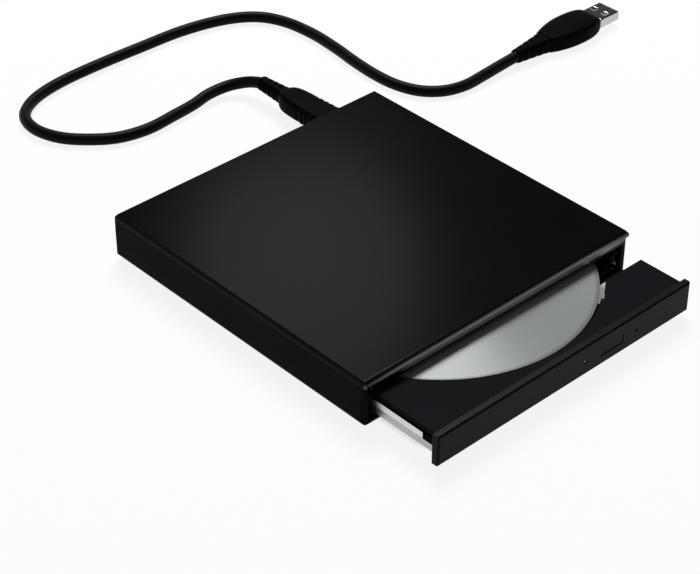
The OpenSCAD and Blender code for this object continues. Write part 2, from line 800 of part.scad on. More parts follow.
// Floating frame of the reader, with brackets for the rods and tabs for the lead screw
module traverse_frame() {
    window = [15.5, feed_end + 5.5];
    nose_u = feed_end + 8;
    rod_block = 2;
    low = rod_z - rod_d / 2 - 0.6;
    color(DULL_STEEL) reader() difference() {
        union() {
            translate([0, 0, frame_z]) linear_extrude(frame_t) difference() {
                union() {
                    polygon([
                        [-18, -20], [rear_u - 21.5, -20], [nose_u, -8],
                        [nose_u, 8], [side_u - 21.8, 18.5], [-18, 18.5]
                    ]);
                    translate(dampers[2]) circle(4.5);
                    translate(dampers[3]) circle(4.5);
                    translate([dampers[3].x - 4, 18]) square([8, dampers[3].y - 18]);
                }
                circle(rotor_r + 0.6);
                translate([window[0], -7.5]) square([window[1] - window[0], 15]);
                for (p = dampers) translate(p) circle(3);
            }
            for (v = rod_v, u = [rod_u[0], rod_u[1] - rod_block])
                box([u, v - 2, low], [u + rod_block, v + 2, frame_z + eps]);
            // Tabs that hold the screw, clear of the sled as it passes
            for (u = tab_u) {
                box([u, 18.8, screw_z - motor_r], [u + 1, screw_v + 2.6, frame_z + frame_t]);
                box([u, 18, frame_z], [u + 1, 19, frame_z + frame_t]);
            }
        }
        for (v = rod_v) translate([0, v, rod_z]) bar_x(rod_u[0] - 1, rod_u[1] + 1, rod_d / 2 + 0.02);
        translate([0, screw_v, screw_z]) bar_x(tab_u[0] - 1, tab_u[1] + 2, screw_d / 2 + 0.08);
    }
}

module damper_grommets() {
    color([0.1, 0.1, 0.1]) reader() for (p = dampers)
        translate([p.x, p.y, frame_z - 1]) difference() {
            cylinder(h = roof_z - frame_z + 1, r = 2.98);
            translate([0, 0, -1]) cylinder(h = 6, r = 1.22);
        }
}

// Stator of the spindle motor: base plate, posts to the frame, bearing sleeve and coils
module spindle_motor() {
    base_z = tray_z + 0.5;
    base_t = 0.8;
    base_r = 16.5;
    teeth = 9;
    sleeve_top = table_z - 1.7;
    color(BRASS) translate([0, spindle_y, 0]) rotate(feed_angle) difference() {
        union() {
            translate([0, 0, base_z]) cylinder(h = base_t, r = base_r);
            for (a = [60, 180, 300]) rotate(a) translate([base_r - 1.1, 0, base_z])
                cylinder(h = frame_z - base_z, r = 0.9);
            translate([0, 0, base_z]) cylinder(h = sleeve_top - base_z, r = 3.2);
            translate([0, 0, base_z + base_t - eps]) linear_extrude(2.4) for (i = [0:teeth - 1])
                rotate(i * 360 / teeth) {
                    translate([2, -1]) square([rotor_r - 4.6, 2]);
                    translate([rotor_r - 3.6, -2.4]) square([1.6, 4.8]);
                }
        }
        translate([0, 0, base_z + 0.3]) cylinder(h = 9, r = 1.56);
    }
}

// Rotor cup with the shaft, and the table that the disc lies on
module turntable() {
    cup_z = tray_z + 2;
    color([0.3, 0.3, 0.31]) translate([0, spindle_y, 0]) {
        difference() {
            union() {
                translate([0, 0, cup_z]) cylinder(h = table_z - cup_z + eps, r = rotor_r);
                translate([0, 0, table_z]) cylinder(h = disc_z - 0.4 - table_z, d = table_d);
            }
            translate([0, 0, cup_z - 1]) cylinder(h = table_z - cup_z, r = rotor_r - 1);
        }
        translate([0, 0, tray_z + 0.9]) cylinder(h = disc_z - tray_z - 1.3, r = 1.5);
    }
}

module turntable_pad() {
    color([0.08, 0.08, 0.08]) translate([0, spindle_y, disc_z - 0.4]) difference() {
        cylinder(h = 0.4, r = table_d / 2 - 0.3);
        translate([0, 0, -1]) cylinder(h = 3, r = hub_r + 2);
    }
}

// Chuck that centres the disc, with three radial slots for the jaws
module hub_chuck() {
    h = disc_t + 0.8;
    color([0.6, 0.6, 0.6]) translate([0, spindle_y, disc_z - 0.4]) difference() {
        union() {
            cylinder(h = h + 0.4 - 0.5, r = hub_r);
            translate([0, 0, h - 0.1]) cylinder(h = 0.5, r1 = hub_r, r2 = hub_r - 0.6);
        }
        for (a = jaw_turns) rotate(a) box([2.6, -1.4, disc_t + 0.4], [hub_r + 1, 1.4, h + 1]);
    }
}

module chuck_jaw(turn) {
    z = disc_z + disc_t + 0.1;
    color([0.75, 0.75, 0.75]) translate([0, spindle_y, 0]) rotate(turn)
        box([3.7, -1.15, z], [disc_hole / 2 + 0.45, 1.15, z + 0.5]);
}
module chuck_jaw_a() { chuck_jaw(jaw_turns[0]); }
module chuck_jaw_b() { chuck_jaw(jaw_turns[1]); }
module chuck_jaw_c() { chuck_jaw(jaw_turns[2]); }

module disc() {
    color(SILVER) translate([0, spindle_y, disc_z]) difference() {
        cylinder(h = disc_t, d = disc_d, $fn = 128);
        translate([0, 0, -1]) cylinder(h = disc_t + 2, d = disc_hole);
    }
}

module guide_rods() {
    color(STEEL) reader() for (v = rod_v)
        translate([0, v, rod_z]) bar_x(rod_u[0], rod_u[1], rod_d / 2);
}

module lead_screw() {
    color(STEEL) reader() translate([0, screw_v, screw_z]) bar_x(screw_u[0], screw_u[1], screw_d / 2);
}

module sled_motor() {
    color([0.6, 0.6, 0.58]) reader() translate([0, screw_v, screw_z]) bar_x(tab_u[0] - 11, tab_u[0], motor_r);
}

// Sled of the pickup: it runs on both rods and clears the spindle motor
module pickup_sled() {
    u = lens_home;
    tower_top = roof_z - 0.3;
    fork = rod_d + 0.08;
    color([0.35, 0.35, 0.36]) reader() difference() {
        union() {
            box([u - 12, -12, sled_z], [u + 5, 11.5, sled_top]);
            box([u - 12, 11, sled_z + 0.3], [u - 1, 18.5, sled_top]);
            box([u - 10, -19, sled_z + 0.3], [u - 3, -11, sled_top]);
            box([u - 6, -6.5, sled_top - eps], [u + 5, 6.5, tower_top]);
        }
        translate([0, 0, sled_z - 1]) cylinder(h = 9, r = 17.4);
        // Pocket for the lens holder
        box(
            [u - 4 - lens_gap, -4.5 - lens_gap, sled_z + 1.9],
            [u + 4 + lens_gap, 4.5 + lens_gap, tower_top + 1]
        );
        translate([0, rod_v[0], rod_z]) bar_x(u - 13, u + 1, rod_d / 2 + 0.04);
        box([u - 13, -20, rod_z - fork / 2], [u + 1, rod_v[1] + rod_d / 2 + 0.3, rod_z + fork / 2]);
    }
}

module sled_follower() {
    u = lens_home;
    tip = screw_v - screw_d / 2 - 0.1;
    color([0.85, 0.85, 0.8]) reader() box([u - 9, 18.5, screw_z - 1], [u - 3, tip, screw_z + 0.8]);
}

module lens_holder() {
    z = sled_z + 2.6;
    color([0.2, 0.2, 0.22]) reader() translate([lens_home, 0, 0]) difference() {
        box([-4, -4.5, z], [4, 4.5, z + 2.9]);
        translate([0, 0, z - 1]) cylinder(h = 9, r = 1.6);
        translate([0, 0, z + 2.3]) cylinder(h = 3, r = 2.2);
    }
}

module objective_lens() {
    z = sled_z + 4.9;
    color([0.6, 0.7, 0.85]) reader() translate([lens_home, 0, z]) cylinder(h = 1, r1 = 2.2, r2 = 1.4);
}

module latch_pin() {
    color(STEEL) translate([latch_x, latch_y, tray_z + 0.6]) {
        cylinder(h = roof_z - tray_z - 0.6, r = 1);
        cylinder(h = 0.4, r = 1.8);
    }
}

// Lever with a hook that grips the post from behind when the tray is shut, swung clear of it here
module latch_lever() {
    z = tray_z + 1.1;
    hook_y = post_y - case_y + tray_y + post_d / 2 + 0.4 - latch_y;
    reach = post_x - latch_x;
    color([0.85, 0.85, 0.82]) translate([latch_x, latch_y, z]) rotate(latch_open)
        linear_extrude(2) difference() {
            union() {
                circle(2.6);
                polygon([
                    [-1.6, 0], [2.4, 0], [5, hook_y - 1.6], [5.4, hook_y], [reach + 1, hook_y],
                    [reach + 0.4, hook_y + 1.8], [3, hook_y + 1.8]
                ]);
            }
            circle(1.06);
        }
}

module latch_solenoid() {
    color([0.55, 0.3, 0.12]) box([post_x - 2, tray_in + 0.3, tray_z + 1], [post_x + 5, tray_in + 5, roof_z]);
}

module socket_plug_shell() {
    color(STEEL) along_y(rear_y - 6.5, rear_y + plug_gap)
        translate([socket_at, socket_z]) plug_outline(0);
}

// A moulded form along +Z through sections [place, half width, half height, squareness]
function section_ring(part) = [
    for (k = [0:23]) let (c = cos(15 * k), s = -sin(15 * k))
        [part[1] * sign(c) * pow(abs(c), part[3]), part[2] * sign(s) * pow(abs(s), part[3]), part[0]]
];
module moulding(parts) {
    loft([for (part = parts) section_ring(part)]);
}

// Skin over a row of rings of points
module loft(rings) {
    sides = len(rings[0]);
    last = len(rings) - 1;
    end = last * sides;
    walls = [
        for (i = [0:last - 1], k = [0:sides - 1])
            let (a = i * sides + k, b = i * sides + (k + 1) % sides)
            each [[a, b, b + sides], [a, b + sides, a + sides]]
    ];
    near = [for (k = [1:sides - 2]) [0, k + 1, k]];
    far = [for (k = [1:sides - 2]) [end, end + k, end + k + 1]];
    polyhedron([for (ring = rings) each ring], concat(walls, near, far));
}

// Body with four grip grooves on each side, widest at the case
module socket_plug_body() {
    w = plug_w / 2;
    h = plug_h / 2;
    flare = plug_flare / 2;
    grip = [10, 13, 16, 19];
    color([0.06, 0.06, 0.06]) translate([socket_at, rear_y + plug_gap, socket_z])
        rotate([-90, 0, 0]) moulding([
            [0, w + flare - 0.5, h - 0.4, 0.4], [0.8, w + flare, h, 0.4],
            for (y = grip, cut = [[0, 0], [0.4, 0.5], [1.2, 0.5], [1.6, 0]])
                [y + cut[0], w + flare * (1 - (y + cut[0]) / (plug_len - 6)) - cut[1], h, 0.4],
            [plug_len - 6, w, h, 0.4], [plug_len - 3, w - 0.7, h - 0.1, 0.4],
            [plug_len - 1, w - 1.6, h - 0.4, 0.45], [plug_len, w - 2.4, h - 0.9, 0.5]
        ]);
}

// Flexible sleeve with ring grooves, from the plug to the cable
module relief(len, half, rings) {
    tip = cord_d / 2 + 0.7;
    pitch = len / (rings + 0.5);
    function at(s, cut) = let (k = s / len)
        [s, half.x + (tip - half.x) * k - cut, half.y + (tip - half.y) * k - cut, 0.5 + 0.5 * k];
    moulding([
        at(0, 0),
        for (i = [1:rings], cut = [[-0.3, 0], [-0.25, 0.45], [0, 0.45], [0.05, 0]])
            at((i + cut[0]) * pitch, cut[1]),
        at(len, 0)
    ]);
}

module socket_plug_relief() {
    color([0.06, 0.06, 0.06]) translate([socket_at, rear_y + plug_gap + plug_len, socket_z])
        rotate([-90, 0, 0]) relief(relief_len, [plug_w / 2 - 2.6, plug_h / 2 - 1], 4);
}

module host_plug_relief() {
    color([0.06, 0.06, 0.06]) translate([host_x + host_relief, host_y, host_z])
        rotate([0, -90, 0]) rotate(90) relief(host_relief, [host_w / 2 - 4, host_h / 2 - 0.4], 4);
}

// Drop-shaped body, widest towards the shell
module host_plug_body() {
    w = host_w / 2;
    h = host_h / 2;
    color([0.06, 0.06, 0.06]) translate([host_x + host_relief, host_y, host_z])
        rotate([0, 90, 0]) rotate(90) moulding([
            [0, w - 3.6, h - 0.3, 0.5], [3, w - 2.5, h - 0.1, 0.45], [7, w - 1.3, h, 0.42],
            [12, w - 0.3, h, 0.4], [16, w, h, 0.4], [20, w, h, 0.4], [24, w - 0.4, h, 0.4],
            [host_len - 3.6, w - 1.1, h - 0.1, 0.4], [host_len - 1.4, w - 1.9, h - 0.4, 0.42],
            [host_len - 0.4, w - 2.5, h - 0.8, 0.45], [host_len, w - 2.7, h - 1.3, 0.45]
        ]);
}

module host_plug_shell() {
    wall = 0.35;
    color(STEEL) translate([host_x + host_relief + host_len, host_y, host_z]) difference() {
        box([0, -6, -2.25], [shell_len, 6, 2.25]);
        box([1, -6 + wall, -2.25 + wall], [shell_len + 1, 6 - wall, 2.25 - wall]);
        // Latch windows of the shell
        for (y = [-3, 3]) box([4.6, y - 1.1, 1], [7, y + 1.1, 3]);
    }
}

module host_plug_tongue() {
    color([0.85, 0.85, 0.85]) translate([host_x + host_relief + host_len, host_y, host_z])
        box([1, -5.65, -1.9], [shell_len - 1.5, 5.65, 0]);
}

// Smooth curve through the route's points, and the rings around it
function spline(a, b, c, d, t) =
    0.5 * (2 * b + (c - a) * t + (2 * a - 5 * b + 4 * c - d) * t * t + (3 * b - a - 3 * c + d) * t * t * t);
function route_at(i) = ROUTE[max(0, min(len(ROUTE) - 1, i))];
function route_path(steps) = [
    for (i = [0:len(ROUTE) - 2], k = [0:steps - 1])
        spline(route_at(i - 1), route_at(i), route_at(i + 1), route_at(i + 2), k / steps),
    ROUTE[len(ROUTE) - 1]
];
function unit(v) = v / norm(v);
function path_way(path, i) = unit(path[min(len(path) - 1, i + 1)] - path[max(0, i - 1)]);
function path_ring(path, i, r, sides) =
    let (way = path_way(path, i), across = unit(cross(way, [0, 0, 1])), up = cross(across, way))
    [for (k = [0:sides - 1]) path[i] + r * (cos(k * 360 / sides) * across + sin(k * 360 / sides) * up)];

module usb_cable() {
    color([0.05, 0.05, 0.05]) let (path = route_path(2))
        loft([for (i = [0:len(path) - 1]) path_ring(path, i, cord_d / 2, 8)]);
}

top_cover();
base_shell();
rubber_feet();
case_screws();
drive_screws();
drive_chassis();
chassis_lid();
rail_guide_left();
rail_guide_right();
latch_post();
ejector_housing();
ejector_plunger();
bridge_board();
bridge_chips();
drive_connector();
usb_socket();
flex_ribbon();
slide_rail_left();
slide_rail_right();
tray();
runner_bar_right();
bezel();
led_lens();
front_board();
eject_switch();
tray_bottom_plate();
tray_screws();
tray_board();
tray_chips();
traverse_frame();
damper_grommets();
spindle_motor();
guide_rods();
sled_motor();
latch_pin();
latch_solenoid();
latch_lever();
eject_button();
turntable();
turntable_pad();
hub_chuck();
disc();
chuck_jaw_a();
chuck_jaw_b();
chuck_jaw_c();
pickup_sled();
sled_follower();
lens_holder();
objective_lens();
lead_screw();
socket_plug_shell();
socket_plug_body();
socket_plug_relief();
usb_cable();
host_plug_relief();
host_plug_body();
host_plug_shell();
host_plug_tongue();
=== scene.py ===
"""Looks of the external disc drive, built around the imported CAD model. Metres, in the CAD frame."""

import json
import math

import bmesh
import bpy
from mathutils import Matrix, Vector


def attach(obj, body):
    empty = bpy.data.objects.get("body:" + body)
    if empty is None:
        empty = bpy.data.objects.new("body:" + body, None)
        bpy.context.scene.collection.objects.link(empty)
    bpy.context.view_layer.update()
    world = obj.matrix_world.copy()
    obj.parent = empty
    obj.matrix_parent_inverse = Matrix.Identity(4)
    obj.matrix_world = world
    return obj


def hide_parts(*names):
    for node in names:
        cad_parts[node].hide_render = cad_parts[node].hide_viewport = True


MM = 0.001

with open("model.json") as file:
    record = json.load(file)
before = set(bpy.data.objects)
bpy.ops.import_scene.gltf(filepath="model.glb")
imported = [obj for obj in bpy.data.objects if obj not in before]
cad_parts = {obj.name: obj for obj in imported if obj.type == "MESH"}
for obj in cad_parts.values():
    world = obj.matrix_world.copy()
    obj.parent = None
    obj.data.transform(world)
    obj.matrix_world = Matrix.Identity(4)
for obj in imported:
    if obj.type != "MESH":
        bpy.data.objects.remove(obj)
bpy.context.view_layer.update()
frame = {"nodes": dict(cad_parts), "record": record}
nodes = frame["nodes"]
scene = bpy.context.scene


# Sizes shared with the CAD model, in millimetres

CASE_Y, COVER_TOP, SPINDLE_Y = -53.1, 20, -18.1
DISC_Z, DISC_T, DISC_R, HOLE_R = 11.9, 1.2, 60, 7.5
FEED_ANGLE = math.radians(135)
SCREW_V, SCREW_Z, SCREW_R, SCREW_U, SCREW_LEAD = 21.5, 6.55, 1.2, (-7.9, 57.6), 3
LENS_HOME, LENS_Z, LENS_R = 24, 9.4, 2.2
LAMP_X, LAMP_Z, LAMP_R, LAMP_Y = 8, 8.5, 1.0, (-85, -76.9)
PAN_Z, TRAY_Z = 3.1, 4
RIBBON_X, RIBBON_T, RIBBON_RISE = (4.5, 20.5), 0.12, 7.4
RIBBON_FOLD, RIBBON_REAR, RIBBON_TRAY = -20.1, 74.4, 36.9
FOOT_R, FOOT_H = 4.5, 0.8
FEET = [(x, y) for x in (-54.5, 54.5) for y in (-38.1, 70.1)]
CORD_D = 5
SOCKET_X, SOCKET_Z = 49, 8.35
PLUG_Y, PLUG_LEN, PLUG_W, PLUG_H, PLUG_FLARE = 85.5, 35, 12.4, 8.4, 3.2
RELIEF_LEN = 14.6
RELIEF_END = PLUG_Y + PLUG_LEN + RELIEF_LEN
HOST = (149, 82.7, 4.3)
HOST_RELIEF, HOST_LEN, HOST_W, HOST_H = 18, 30.5, 17.6, 8.4
SHELL_LEN, SHELL_W, SHELL_H, SHELL_T = 11.8, 12, 4.5, 0.35
LIE = CORD_D / 2 + 0.1
ROUTE = [
    (SOCKET_X, RELIEF_END, SOCKET_Z),
    (SOCKET_X - 2, RELIEF_END + 7, 6.6),
    (41, 148, 4.6),
    (31.5, 149.8, LIE + 0.9),
    (22.5, 148.8, LIE),
    (10.5, 147.5, LIE),
    (-3.5, 146.5, LIE),
    (-16.5, 149.5, LIE),
    (-26.5, 156.5, LIE),
    (-34.5, 166, LIE),
    (-38, 178, LIE),
    (-35, 189.5, LIE),
    (-24.5, 197.5, LIE),
    (-8.5, 201.5, LIE),
    (12.5, 202.5, LIE),
    (36, 202, LIE),
    (58.5, 201, LIE),
    (78, 196.5, LIE),
    (91, 188.5, LIE),
    (97.5, 176.5, LIE),
    (99.5, 160, LIE),
    (98.5, 143.5, LIE),
    (96.5, 128.5, LIE),
    (95.5, 114, LIE),
    (96.5, 102, LIE),
    (100.5, 92, LIE),
    (108, 85.2, LIE),
    (118, 82.4, LIE),
    (129, 82.6, LIE + 0.3),
    (139, 82.7, 3.6),
    HOST,
]

# Numbers of the camera, in millimetres, and of its range of sight, in metres

CAMERA_PLACE, CAMERA_AIM = (-437.7, -447.62, 458.69), (-33.08, -8.6, 20)
CAMERA_LENS, SENSOR_WIDTH = 106.93, 36
SIGHT_START, SIGHT_END = 0.01, 20

# Numbers shared by the materials and the shapes

NOISE_ROUGHNESS = 0.55
BEVEL_SAMPLES = 4
WAVE_LENGTH = 2 * math.pi / 20  # of a wave texture at scale 1
MERGE_DISTANCE = 1e-7
SECTION_SIDES = 24
QUARTER_TURN = math.pi / 2
ROLLED_Y = (1, 0.03, 1)  # stretches noise into lines along Y

PLASTICS = {
    "case_black": dict(color=(0.0088, 0.0088, 0.0094), rough=0.5, specular=0.1, ior=1.15),
    "bezel_black": dict(
        color=(0.005, 0.005, 0.006), rough=0.32, specular=0.15, grain=3000, depth=0.000005, ior=1.25
    ),
    "tray_black": dict(
        color=(0.0055, 0.0053, 0.008), rough=0.5, specular=0.015, grain=1800, depth=0.00002
    ),
    "foot_rubber": dict(color=(0.02, 0.02, 0.02), rough=0.75, specular=0.3, grain=900, depth=0.00003),
    "guide_plastic": dict(color=(0.02, 0.02, 0.022), rough=0.5, specular=0.3),
    "light_plastic": dict(color=(0.62, 0.61, 0.57), rough=0.45, specular=0.5),
    "board_green": dict(color=(0.01, 0.09, 0.035), rough=0.35, specular=0.5),
    "chip_black": dict(color=(0.012, 0.012, 0.012), rough=0.55, specular=0.4),
    "lens_clear": dict(color=(0.3, 0.4, 0.6), rough=0.05, specular=0.6),
    "lamp_clear": dict(color=(0.03, 0.035, 0.03), rough=0.15, specular=0.4),
    "cable_black": dict(color=(0.004, 0.004, 0.0044), rough=0.4, specular=0.12, grain=1500, ior=1.3),
    "plug_black": dict(
        color=(0.002, 0.002, 0.0024), rough=0.4, specular=0.06, grain=2000, edge=0.0006, ior=1.2
    ),
}

METALS = {
    # The cut colours are painted shade: darker colours on the faces that look along Y
    "bright_steel": dict(color=(0.72, 0.73, 0.74), rough=0.3, along=ROLLED_Y, cut=(0.05, 0.05, 0.052)),
    "dull_steel": dict(color=(0.52, 0.53, 0.54), rough=0.42, along=ROLLED_Y),
    # Darker than the bright steel, painted shade for steel deep inside the drive; its cut colour is
    # painted shade too
    "chassis_steel": dict(
        color=(0.12, 0.123, 0.127), rough=0.5, along=ROLLED_Y, cut=(0.02, 0.02, 0.021)
    ),
    # Nearly black steel, painted shade for steel deep in the drive's opening
    "dark_steel": dict(color=(0.03, 0.03, 0.033), rough=0.45, along=ROLLED_Y),
    "screw_steel": dict(color=(0.45, 0.45, 0.46), rough=0.35),
    "copper_winding": dict(color=(0.72, 0.38, 0.18), rough=0.35),
    "pickup_metal": dict(color=(0.42, 0.42, 0.43), rough=0.45),
    "rotor_metal": dict(color=(0.17, 0.17, 0.175), rough=0.5),
    "plug_metal": dict(color=(0.5, 0.5, 0.505), rough=0.15),
}


# Camera, floor and light


def place_aimed(obj, place, target):
    """Puts a camera or lamp at a place and turns it towards a target."""
    obj.location = place
    obj.rotation_euler = (Vector(target) - Vector(place)).to_track_quat("-Z", "Y").to_euler()
    scene.collection.objects.link(obj)


def linked(tree, kind, values, *sources):
    """A new node with its first inputs linked to sources and others set to values."""
    made = tree.nodes.new(kind)
    for source, inp in zip(sources, made.inputs):
        tree.links.new(source, inp)
    for key, value in values.items():
        made.inputs[key].default_value = value
    return made


def combined(tree, operation, *sources):
    """What a Math node makes of its sources."""
    made = linked(tree, "ShaderNodeMath", {}, *sources)
    made.operation = operation
    return made.outputs[0]


def ranged(tree, source, start, end, low, high):
    """Maps a source from start..end to low..high."""
    values = {"From Min": start, "From Max": end, "To Min": low, "To Max": high}
    return linked(tree, "ShaderNodeMapRange", values, source).outputs[0]


def seen_ray(tree):
    """A value that is 1 for camera, glossy and transmission rays."""
    path = tree.nodes.new("ShaderNodeLightPath")
    total = path.outputs["Is Camera Ray"]
    for name in ("Is Glossy Ray", "Is Transmission Ray"):
        total = combined(tree, "MAXIMUM", total, path.outputs[name])
    return total


def make_camera():
    """The camera at the photograph's viewing angle, for a frame of 700 x 574."""
    data = bpy.data.cameras.new("photo_camera")
    data.sensor_fit = "HORIZONTAL"
    data.sensor_width = SENSOR_WIDTH
    data.lens = CAMERA_LENS
    data.clip_start = SIGHT_START
    data.clip_end = SIGHT_END
    camera = bpy.data.objects.new("photo_camera", data)
    place_aimed(camera, Vector(CAMERA_PLACE) * MM, Vector(CAMERA_AIM) * MM)
    scene.camera = camera


def make_world():
    """A plain soft light, and a background that is white around the horizon and grey overhead."""
    world = bpy.data.worlds.new("studio")
    scene.world = world
    world.use_nodes = True
    tree = world.node_tree
    tree.nodes.clear()
    coords = tree.nodes.new("ShaderNodeTexCoord")
    split = linked(tree, "ShaderNodeSeparateXYZ", {}, coords.outputs["Generated"])

    def sky(start, end, low, high):
        """A background whose strength goes from low to high between two heights."""
        made = linked(tree, "ShaderNodeBackground", {"Color": (1, 1, 1, 1)})
        strength = ranged(tree, split.outputs["Z"], start, end, low, high)
        tree.links.new(strength, made.inputs["Strength"])
        return made.outputs[0]

    light = sky(start=0, end=1, low=0.05, high=0.2)
    white = sky(start=0.1, end=0.45, low=1, high=0.02)
    mix = linked(tree, "ShaderNodeMixShader", {}, seen_ray(tree), light, white)
    linked(tree, "ShaderNodeOutputWorld", {}, mix.outputs[0])


def make_floor():
    """A pale floor that keeps a light shadow, with painted shade below the drive, where it glows less.
    """
    half, drop, grey = 3, 0.0002, 0.93
    reach, fade = (0.06, 0.075), 0.006
    glow_around, glow_in_painted_shade = 0.87, 0.2
    corners = [(-half, -half, 0), (half, -half, 0), (half, half, 0), (-half, half, 0)]
    mesh = bpy.data.meshes.new("floor")
    mesh.from_pydata(corners, [], [(0, 1, 2, 3)])
    floor = bpy.data.objects.new("floor", mesh)
    floor.location.z = -drop
    scene.collection.objects.link(floor)
    mat = bpy.data.materials.new("floor_white")
    mat.use_nodes = True
    tree = mat.node_tree
    tree.nodes.clear()
    diffuse = linked(tree, "ShaderNodeBsdfDiffuse", {"Color": (grey, grey, grey, 1)})
    glow = linked(tree, "ShaderNodeEmission", {"Strength": 1})
    coords = tree.nodes.new("ShaderNodeTexCoord")
    split = linked(tree, "ShaderNodeSeparateXYZ", {}, coords.outputs["Object"])

    def below(axis):
        """Goes from 1 in the middle of the drive to 0 past the reach of the painted shade along an
        axis.
        """
        distance = combined(tree, "ABSOLUTE", split.outputs[axis])
        return ranged(tree, distance, reach[axis] - fade, reach[axis], 1, 0)

    # Painted shade: the floor glows less below the drive, so it shows darker there
    painted_shade_below = combined(tree, "MULTIPLY", below(0), below(1))
    share = ranged(tree, painted_shade_below, 0, 1, glow_around, glow_in_painted_shade)
    seen = combined(tree, "MULTIPLY", seen_ray(tree), share)
    mix = linked(tree, "ShaderNodeMixShader", {}, seen, diffuse.outputs[0], glow.outputs[0])
    linked(tree, "ShaderNodeOutputMaterial", {}, mix.outputs[0])
    floor.data.materials.append(mat)


def area_light(name, place, target, size, power):
    """A soft round lamp aimed at a target."""
    data = bpy.data.lights.new(name, "AREA")
    data.shape = "ELLIPSE"
    data.size = data.size_y = size
    data.energy = power
    place_aimed(bpy.data.objects.new(name, data), place, target)


def make_stage():
    """Camera, background, floor, and two lamps: the main one, and one for the sheen of the cover."""
    make_camera()
    make_world()
    make_floor()
    area_light("key", place=(0.746, 0.889, 1.9), target=(0, 0, 0), size=1, power=48)
    area_light("sheen", place=(1.555, 1.84, 1.789), target=(0, 0, 0.02), size=0.44, power=1.28)
    scene.view_settings.view_transform = "Standard"


# Materials


class Shader:
    """A Principled material that is put together node by node."""

    def __init__(self, name, color, rough, metal=0.0, specular=0.5, ior=1.5):
        self.mat = bpy.data.materials.new(name)
        self.mat.use_nodes = True
        self.mat.diffuse_color = (*color, 1)
        self.tree = self.mat.node_tree
        self.bsdf = self.tree.nodes["Principled BSDF"]
        self.color = color
        self.bsdf.inputs["Base Color"].default_value = (*color, 1)
        self.bsdf.inputs["Roughness"].default_value = rough
        self.bsdf.inputs["Metallic"].default_value = metal
        self.bsdf.inputs["Specular IOR Level"].default_value = specular
        self.bsdf.inputs["IOR"].default_value = ior
        self.normal = None
        self.coords = self.node("ShaderNodeTexCoord").outputs["Object"]

    def node(self, kind, **values):
        """A new node with some of its properties set."""
        made = self.tree.nodes.new(kind)
        for key, value in values.items():
            setattr(made, key, value)
        return made

    def link(self, out, inp):
        """Joins an output to an input."""
        self.tree.links.new(out, inp)

    def feed(self, value, inp):
        """Sets an input to a number or a colour, or links it to a socket."""
        if isinstance(value, (int, float)):
            inp.default_value = value
        elif isinstance(value, tuple):
            inp.default_value = (*value, 1)
        else:
            self.link(value, inp)

    def noise(self, scale, detail=3.0, stretch=None):
        """Noise over the object's own coordinates, with an optional stretch along the axes."""
        tex = self.node("ShaderNodeTexNoise")
        tex.inputs["Scale"].default_value = scale
        tex.inputs["Detail"].default_value = detail
        tex.inputs["Roughness"].default_value = NOISE_ROUGHNESS
        source = self.coords
        if stretch:
            mapping = self.node("ShaderNodeMapping")
            mapping.inputs["Scale"].default_value = stretch
            self.link(source, mapping.inputs["Vector"])
            source = mapping.outputs[0]
        self.link(source, tex.inputs["Vector"])
        return tex.outputs["Fac"]

    def spread(self, value, low, high, start=0.3, end=0.7):
        """Maps a value from start..end to low..high. The usual range is that of noise."""
        return ranged(self.tree, value, start, end, low, high)

    def math(self, operation, a, b):
        """What a Math node makes of two sockets or numbers."""
        made = self.node("ShaderNodeMath", operation=operation)
        self.feed(a, made.inputs[0])
        self.feed(b, made.inputs[1])
        return made.outputs[0]

    def blend(self, factor, first, second):
        """Mixes two colours, given as tuples or sockets."""
        mix = self.node("ShaderNodeMix", data_type="RGBA")
        # A Mix node keeps its colours behind its numbers and vectors
        number, color_a, color_b, color_out = 0, 6, 7, 2
        self.feed(factor, mix.inputs[number])
        self.feed(first, mix.inputs[color_a])
        self.feed(second, mix.inputs[color_b])
        return mix.outputs[color_out]

    def axis(self, index):
        """The object's own coordinate along one axis, in metres."""
        split = self.node("ShaderNodeSeparateXYZ")
        self.link(self.coords, split.inputs[0])
        return split.outputs[index]

    def radius(self, x, y):
        """Distance in metres from an upright axis."""
        dx = self.math("SUBTRACT", self.axis(0), x)
        dy = self.math("SUBTRACT", self.axis(1), y)
        square = self.math("ADD", self.math("MULTIPLY", dx, dx), self.math("MULTIPLY", dy, dy))
        return self.math("SQRT", square, 0)

    def mottled(self, scale, amount):
        """The colour with a slow variation around its own value."""
        dark = tuple(c * (1 - amount) for c in self.color)
        light = tuple(min(1, c * (1 + amount)) for c in self.color)
        return self.blend(self.spread(self.noise(scale), 0, 1), dark, light)

    def tint(self, value):
        """Takes the base colour from a socket."""
        self.link(value, self.bsdf.inputs["Base Color"])

    def gloss(self, scale, low, high, stretch=None):
        """Variation of the roughness."""
        value = self.spread(self.noise(scale, stretch=stretch), low, high)
        self.link(value, self.bsdf.inputs["Roughness"])

    def bump(self, height, depth):
        """Adds a bump of the given depth in metres."""
        made = self.node("ShaderNodeBump")
        made.inputs["Strength"].default_value = 1
        made.inputs["Distance"].default_value = depth
        self.link(height, made.inputs["Height"])
        if self.normal:
            self.link(self.normal, made.inputs["Normal"])
        self.normal = made.outputs[0]
        self.link(self.normal, self.bsdf.inputs["Normal"])

    def soften(self, radius):
        """Rounds the look of sharp edges."""
        made = self.node("ShaderNodeBevel", samples=BEVEL_SAMPLES)
        made.inputs["Radius"].default_value = radius
        self.normal = made.outputs[0]
        self.link(self.normal, self.bsdf.inputs["Normal"])


def moulded(name, color, rough, specular, grain=2600, depth=0.00001, edge=0.0003, ior=1.5):
    """Moulded plastic with a fine spark-eroded grain."""
    made = Shader(name, color, rough, specular=specular, ior=ior)
    made.soften(edge)
    made.tint(made.mottled(scale=40, amount=0.12))
    made.gloss(grain, rough - 0.02, rough + 0.02)
    made.bump(made.noise(grain, detail=2), depth)
    return made.mat


